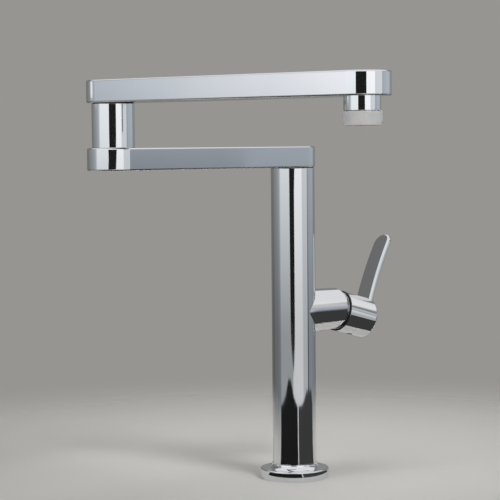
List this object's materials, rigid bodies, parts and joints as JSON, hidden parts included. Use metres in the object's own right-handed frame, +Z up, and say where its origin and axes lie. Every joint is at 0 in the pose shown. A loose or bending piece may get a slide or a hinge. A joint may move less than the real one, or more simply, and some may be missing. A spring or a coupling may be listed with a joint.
{
  "type": "swing-out sink mixer tap",
  "caption": "Chrome single-lever sink mixer on a round base flange, with a jointed flat-arm swivel spout, a down-turned outlet with a frosted collar and a paddle lever at the side.",
  "frame": {"origin": "centre of the base underside, on the deck", "axes": "+Z up the column, +X out along the side valve, -Y to the front where the user stands"},
  "size_m": [0.3061, 0.2727, 0.3148],
  "materials": {
    "chrome": "polished chrome plate",
    "brass": "machined brass",
    "copper": "drawn copper tube",
    "steel": "stainless steel",
    "rubber": "matt moulded rubber",
    "black_plastic": "satin black acetal",
    "white_plastic": "satin white acetal",
    "frosted_plastic": "frosted translucent plastic",
    "ceramic": "lapped white ceramic"
  },
  "bodies": {
    "body": {"base_gasket": "rubber", "base_flange": "chrome", "column_tube": "chrome", "base_plug": "brass", "hot_tube": "copper", "cold_tube": "copper", "mixed_riser": "copper", "valve_housing": "brass", "valve_sleeve": "chrome", "cartridge_case": "white_plastic", "cartridge_seals": "rubber", "fixed_disc": "ceramic", "cartridge_cap": "white_plastic", "gland_nut": "brass", "bonnet": "chrome", "column_spigot": "brass", "column_seal_rings": "rubber", "column_washer": "black_plastic"},
    "turret": {"cartridge_rotor": "white_plastic", "tilt_pin": "steel"},
    "disc_slider": {"moving_disc": "ceramic", "disc_carrier": "white_plastic"},
    "lever": {"lever_stem": "steel", "lever_hub": "chrome", "slip_ring": "black_plastic", "lever_blade": "chrome", "lever_screw": "steel"},
    "lower_spout": {"lower_arm": "chrome", "lower_bush": "white_plastic", "lower_arm_screw": "steel", "elbow_post": "chrome", "post_seal": "rubber", "elbow_spigot": "brass", "elbow_seal_rings": "rubber", "elbow_washer": "black_plastic"},
    "upper_spout": {"upper_arm": "chrome", "upper_bush": "white_plastic", "upper_arm_screw": "steel", "outlet_neck": "chrome", "neck_seal": "rubber", "aerator_collar": "frosted_plastic", "flow_straightener": "white_plastic", "aerator_screen": "steel", "aerator_washer": "rubber"}
  },
  "joints": [
    {"name": "column_swivel", "type": "hinge", "parent": "body", "child": "lower_spout", "pos_m": [0, 0, 0.249], "axis": [0, 0, 1], "continuous": true},
    {"name": "elbow_swivel", "type": "hinge", "parent": "lower_spout", "child": "upper_spout", "pos_m": [-0.17932, -0.01569, 0.2983], "axis": [0, 0, 1], "continuous": true},
    {"name": "lever_turn", "type": "hinge", "parent": "body", "child": "turret", "pos_m": [0.0378, 0, 0.1335], "axis": [1, 0, 0], "range_deg": [-37, 53]},
    {"name": "lever_lift", "type": "hinge", "parent": "turret", "child": "lever", "pos_m": [0.0378, 0, 0.1335], "axis": [0, 0.9903, -0.1392], "range_deg": [-15.5, 9.5]},
    {"name": "disc_slide", "type": "slide", "parent": "turret", "child": "disc_slider", "axis": [0, 0.1392, 0.9903], "range_m": [-0.0028, 0.0017]}
  ],
  "couplings": [
    {"joint": "disc_slide", "follows": "lever_lift", "m_per_rad": 0.010118}
  ]
}
